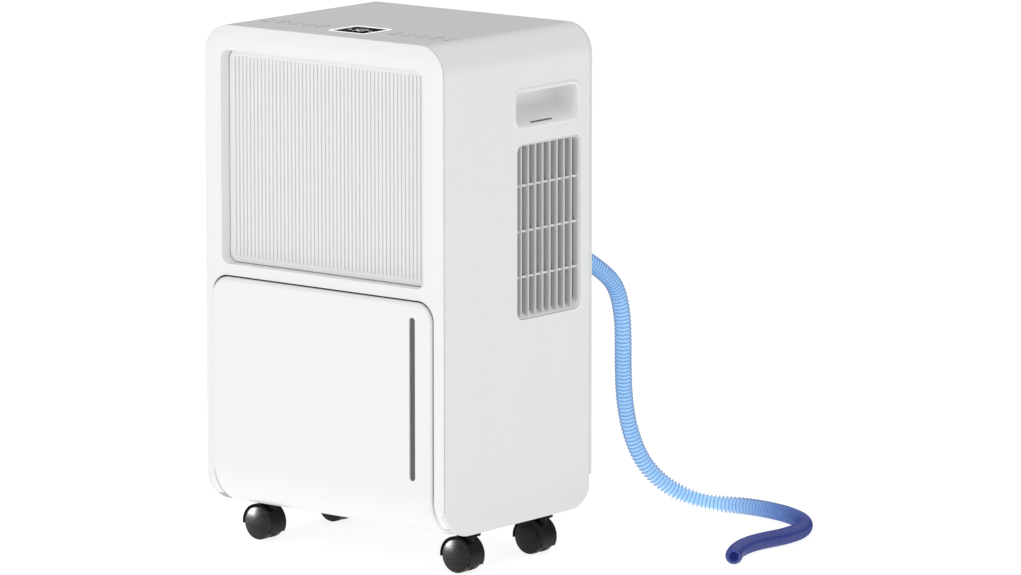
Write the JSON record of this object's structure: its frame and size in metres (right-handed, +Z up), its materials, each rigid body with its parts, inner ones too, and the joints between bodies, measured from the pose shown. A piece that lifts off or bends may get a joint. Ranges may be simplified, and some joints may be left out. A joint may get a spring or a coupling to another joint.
{
  "type": "dehumidifier",
  "caption": "Upright cabinet dehumidifier on swivel casters, with a ribbed front inlet, a slide-out water tank, side handles, a slatted side outlet, a top display and a corrugated drain hose.",
  "frame": {"origin": "on the floor, under the middle of the cabinet", "axes": "+Z up, -Y the front with the inlet and the tank, +X the right-hand side with the outlet"},
  "size_m": [0.4578, 0.447, 0.502],
  "materials": {
    "white_gloss": "satin gloss",
    "rear_white": "satin",
    "vent_grey": "satin",
    "lens_black": "gloss",
    "window_dark": "gloss",
    "tank_clear": "translucent",
    "float_white": "matte",
    "caster_black": "gloss",
    "steel": "bright",
    "galvanised": "galvanised",
    "pot_black": "satin",
    "rubber": "matte",
    "aluminium": "bright",
    "copper": "bright",
    "grey_plastic": "matte",
    "fan_white": "matte",
    "board_green": "satin",
    "filter_mesh": "mesh",
    "hose_blue": "translucent",
    "cuff_grey": "satin"
  },
  "bodies": {
    "root": {"cabinet_shell": "white_gloss", "front_frame": "white_gloss", "handle_cup_right": "white_gloss", "handle_cup_left": "white_gloss", "rear_panel": "rear_white", "side_vent": "vent_grey", "control_lens": "lens_black", "panel_screws": "steel", "compressor_bolts": "steel", "base_pan": "galvanised", "bay_divider": "galvanised", "mid_deck": "galvanised", "motor_bracket": "galvanised", "compressor": "pot_black", "accumulator": "pot_black", "fan_motor": "pot_black", "compressor_feet": "rubber", "cord_gland": "rubber", "evaporator_fins": "aluminium", "condenser_fins": "aluminium", "evaporator_bends": "copper", "condenser_bends": "copper", "discharge_pipe": "copper", "suction_pipe": "copper", "fan_scroll": "grey_plastic", "drip_tray": "grey_plastic", "electrical_box": "grey_plastic", "capacitor": "grey_plastic", "level_switch": "grey_plastic", "drain_pipe": "grey_plastic", "drain_spigot": "grey_plastic", "display_module": "grey_plastic", "control_board": "board_green", "drain_hose": "hose_blue", "hose_cuff": "cuff_grey"},
    "tank": {"tank_front": "white_gloss", "level_window": "window_dark", "tank_body": "tank_clear", "tank_lid": "tank_clear", "float_pin": "steel"},
    "float": {"tank_float": "float_white"},
    "grille": {"inlet_grille": "white_gloss", "air_filter": "filter_mesh"},
    "fan": {"fan_impeller": "fan_white", "fan_shaft": "steel"},
    "caster_front_left": {"caster_front_left_hood": "caster_black", "caster_front_left_axle": "steel"},
    "wheels_front_left": {"caster_front_left_wheels": "caster_black"},
    "caster_front_right": {"caster_front_right_hood": "caster_black", "caster_front_right_axle": "steel"},
    "wheels_front_right": {"caster_front_right_wheels": "caster_black"},
    "caster_rear_left": {"caster_rear_left_hood": "caster_black", "caster_rear_left_axle": "steel"},
    "wheels_rear_left": {"caster_rear_left_wheels": "caster_black"},
    "caster_rear_right": {"caster_rear_right_hood": "caster_black", "caster_rear_right_axle": "steel"},
    "wheels_rear_right": {"caster_rear_right_wheels": "caster_black"}
  },
  "joints": [
    {"name": "tank_slide", "type": "slide", "parent": "root", "child": "tank", "axis": [0, -1, 0], "range_m": [0, 0.12]},
    {"name": "float_swing", "type": "hinge", "parent": "tank", "child": "float", "pos_m": [0.076, -0.0344, 0.234], "axis": [-1, 0, 0], "range_deg": [0, 15]},
    {"name": "grille_pull", "type": "slide", "parent": "root", "child": "grille", "axis": [0, -1, 0], "range_m": [0, 0.04]},
    {"name": "fan_spin", "type": "hinge", "parent": "root", "child": "fan", "pos_m": [0, 0.03, 0.378], "axis": [0, 1, 0], "continuous": true},
    {"name": "swivel_front_left", "type": "hinge", "parent": "root", "child": "caster_front_left", "pos_m": [-0.114, -0.0545, 0.044], "axis": [0, 0, 1], "continuous": true},
    {"name": "roll_front_left", "type": "hinge", "parent": "caster_front_left", "child": "wheels_front_left", "pos_m": [-0.122, -0.0545, 0.0165], "axis": [0, 1, 0], "continuous": true},
    {"name": "swivel_front_right", "type": "hinge", "parent": "root", "child": "caster_front_right", "pos_m": [0.13, -0.0545, 0.044], "axis": [0, 0, 1], "continuous": true},
    {"name": "roll_front_right", "type": "hinge", "parent": "caster_front_right", "child": "wheels_front_right", "pos_m": [0.122, -0.0545, 0.0165], "axis": [0, 1, 0], "continuous": true},
    {"name": "swivel_rear_left", "type": "hinge", "parent": "root", "child": "caster_rear_left", "pos_m": [-0.114, 0.0545, 0.044], "axis": [0, 0, 1], "continuous": true},
    {"name": "roll_rear_left", "type": "hinge", "parent": "caster_rear_left", "child": "wheels_rear_left", "pos_m": [-0.122, 0.0545, 0.0165], "axis": [0, 1, 0], "continuous": true},
    {"name": "swivel_rear_right", "type": "hinge", "parent": "root", "child": "caster_rear_right", "pos_m": [0.13, 0.0545, 0.044], "axis": [0, 0, 1], "continuous": true},
    {"name": "roll_rear_right", "type": "hinge", "parent": "caster_rear_right", "child": "wheels_rear_right", "pos_m": [0.122, 0.0545, 0.0165], "axis": [0, 1, 0], "continuous": true}
  ]
}
